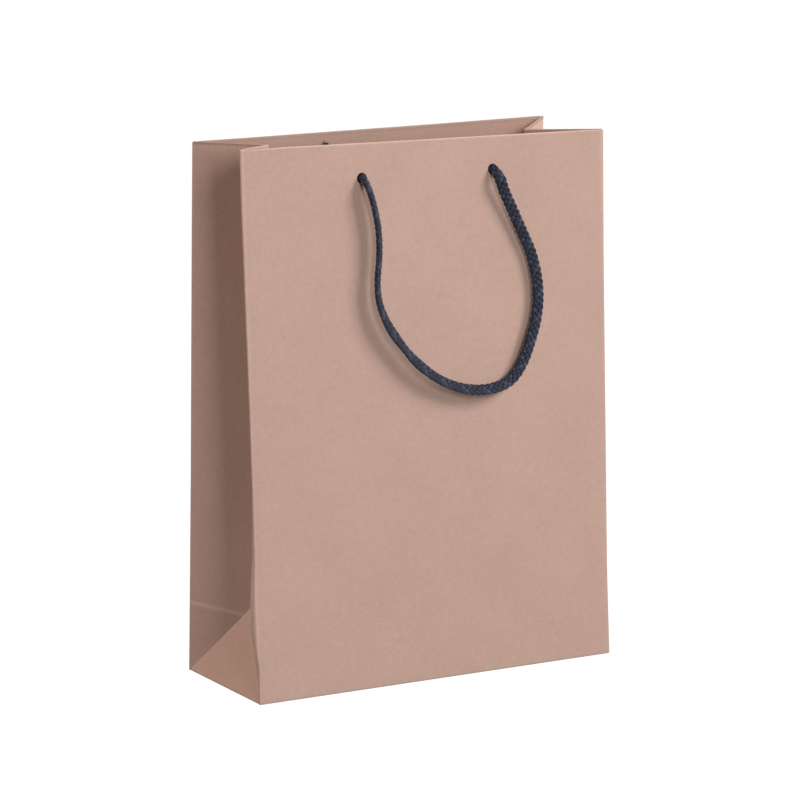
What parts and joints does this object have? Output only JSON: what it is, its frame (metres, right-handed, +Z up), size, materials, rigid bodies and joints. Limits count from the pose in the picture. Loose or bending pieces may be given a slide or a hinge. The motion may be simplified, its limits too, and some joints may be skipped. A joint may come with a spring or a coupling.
{
  "type": "gift bag",
  "caption": "Portrait kraft-paper gift bag with a flat block bottom, inward folded side gussets, a turned-in top and dark blue knitted rope handles knotted inside.",
  "frame": {"origin": "centre of the base, on the surface that the bag stands on", "axes": "+Z up, +X to the right across the wide panels, -Y out of the front panel"},
  "size_m": [0.18, 0.0757, 0.2398],
  "materials": {
    "kraft_paper": "matt brown kraft",
    "grey_card": "uncoated grey card",
    "navy_rope": "knitted cotton"
  },
  "bodies": {
    "base": {"bottom_front_flap": "kraft_paper", "bottom_back_flap": "kraft_paper", "bottom_left_flap": "kraft_paper", "bottom_right_flap": "kraft_paper", "bottom_board": "grey_card"},
    "front_wall": {"front_panel": "kraft_paper", "front_top_hem": "kraft_paper", "front_top_card": "grey_card", "front_left_knot": "navy_rope", "front_right_knot": "navy_rope"},
    "back_wall": {"back_panel": "kraft_paper", "back_top_hem": "kraft_paper", "back_top_card": "grey_card", "side_seam_flap": "kraft_paper", "back_left_knot": "navy_rope", "back_right_knot": "navy_rope"},
    "left_bottom_gusset": {"left_bottom_gusset": "kraft_paper"},
    "left_front_gusset": {"left_front_gusset": "kraft_paper", "left_front_gusset_hem": "kraft_paper"},
    "left_rear_gusset": {"left_rear_gusset": "kraft_paper", "left_rear_gusset_hem": "kraft_paper"},
    "right_bottom_gusset": {"right_bottom_gusset": "kraft_paper"},
    "right_front_gusset": {"right_front_gusset": "kraft_paper", "right_front_gusset_hem": "kraft_paper"},
    "right_rear_gusset": {"right_rear_gusset": "kraft_paper", "right_rear_gusset_hem": "kraft_paper"},
    "front_handle": {"front_handle_rope": "navy_rope"},
    "back_handle": {"back_handle_rope": "navy_rope"}
  },
  "joints": [
    {"name": "mouth_fold", "type": "hinge", "parent": "base", "child": "front_wall", "pos_m": [0, -0.03479, 0.00029], "axis": [-1, 0, 0], "range_deg": [-1, 3], "stiffness_Nm_per_rad": 0.4},
    {"name": "back_wall_fold", "type": "hinge", "parent": "base", "child": "back_wall", "pos_m": [0, 0.03479, 0.00029], "axis": [1, 0, 0], "range_deg": [-1, 3]},
    {"name": "left_front_gusset_fold", "type": "hinge", "parent": "front_wall", "child": "left_front_gusset", "pos_m": [-0.0898, -0.0343, -0.00003], "axis": [0, -0.0417, -0.9991], "range_deg": [-9.7, 29.1]},
    {"name": "left_rear_gusset_fold", "type": "hinge", "parent": "back_wall", "child": "left_rear_gusset", "pos_m": [-0.0898, 0.0343, -0.00003], "axis": [0, -0.0417, 0.9991], "range_deg": [-9.7, 29.1]},
    {"name": "left_bottom_gusset_fold", "type": "hinge", "parent": "base", "child": "left_bottom_gusset", "pos_m": [-0.0898, 0, 0.0003], "axis": [0, 1, 0], "range_deg": [-2.8, 8.4]},
    {"name": "right_front_gusset_fold", "type": "hinge", "parent": "front_wall", "child": "right_front_gusset", "pos_m": [0.0898, -0.0343, -0.00003], "axis": [0, 0.0417, 0.9991], "range_deg": [-9.7, 29.1]},
    {"name": "right_rear_gusset_fold", "type": "hinge", "parent": "back_wall", "child": "right_rear_gusset", "pos_m": [0.0898, 0.0343, -0.00003], "axis": [0, 0.0417, -0.9991], "range_deg": [-9.7, 29.1]},
    {"name": "right_bottom_gusset_fold", "type": "hinge", "parent": "base", "child": "right_bottom_gusset", "pos_m": [0.0898, 0, 0.0003], "axis": [0, -1, 0], "range_deg": [-2.8, 8.4]},
    {"name": "front_handle_swing", "type": "hinge", "parent": "front_wall", "child": "front_handle", "pos_m": [0, -0.03085, 0.22442], "axis": [-1, 0, 0], "range_deg": [0, 175]},
    {"name": "back_handle_swing", "type": "hinge", "parent": "back_wall", "child": "back_handle", "pos_m": [0, 0.03085, 0.22442], "axis": [1, 0, 0], "range_deg": [0, 175]}
  ],
  "couplings": [
    {"joint": "back_wall_fold", "follows": "mouth_fold", "ratio": 1},
    {"joint": "left_front_gusset_fold", "follows": "mouth_fold", "ratio": 9.7},
    {"joint": "left_rear_gusset_fold", "follows": "mouth_fold", "ratio": 9.7},
    {"joint": "left_bottom_gusset_fold", "follows": "mouth_fold", "ratio": 2.8},
    {"joint": "right_front_gusset_fold", "follows": "mouth_fold", "ratio": 9.7},
    {"joint": "right_rear_gusset_fold", "follows": "mouth_fold", "ratio": 9.7},
    {"joint": "right_bottom_gusset_fold", "follows": "mouth_fold", "ratio": 2.8}
  ]
}
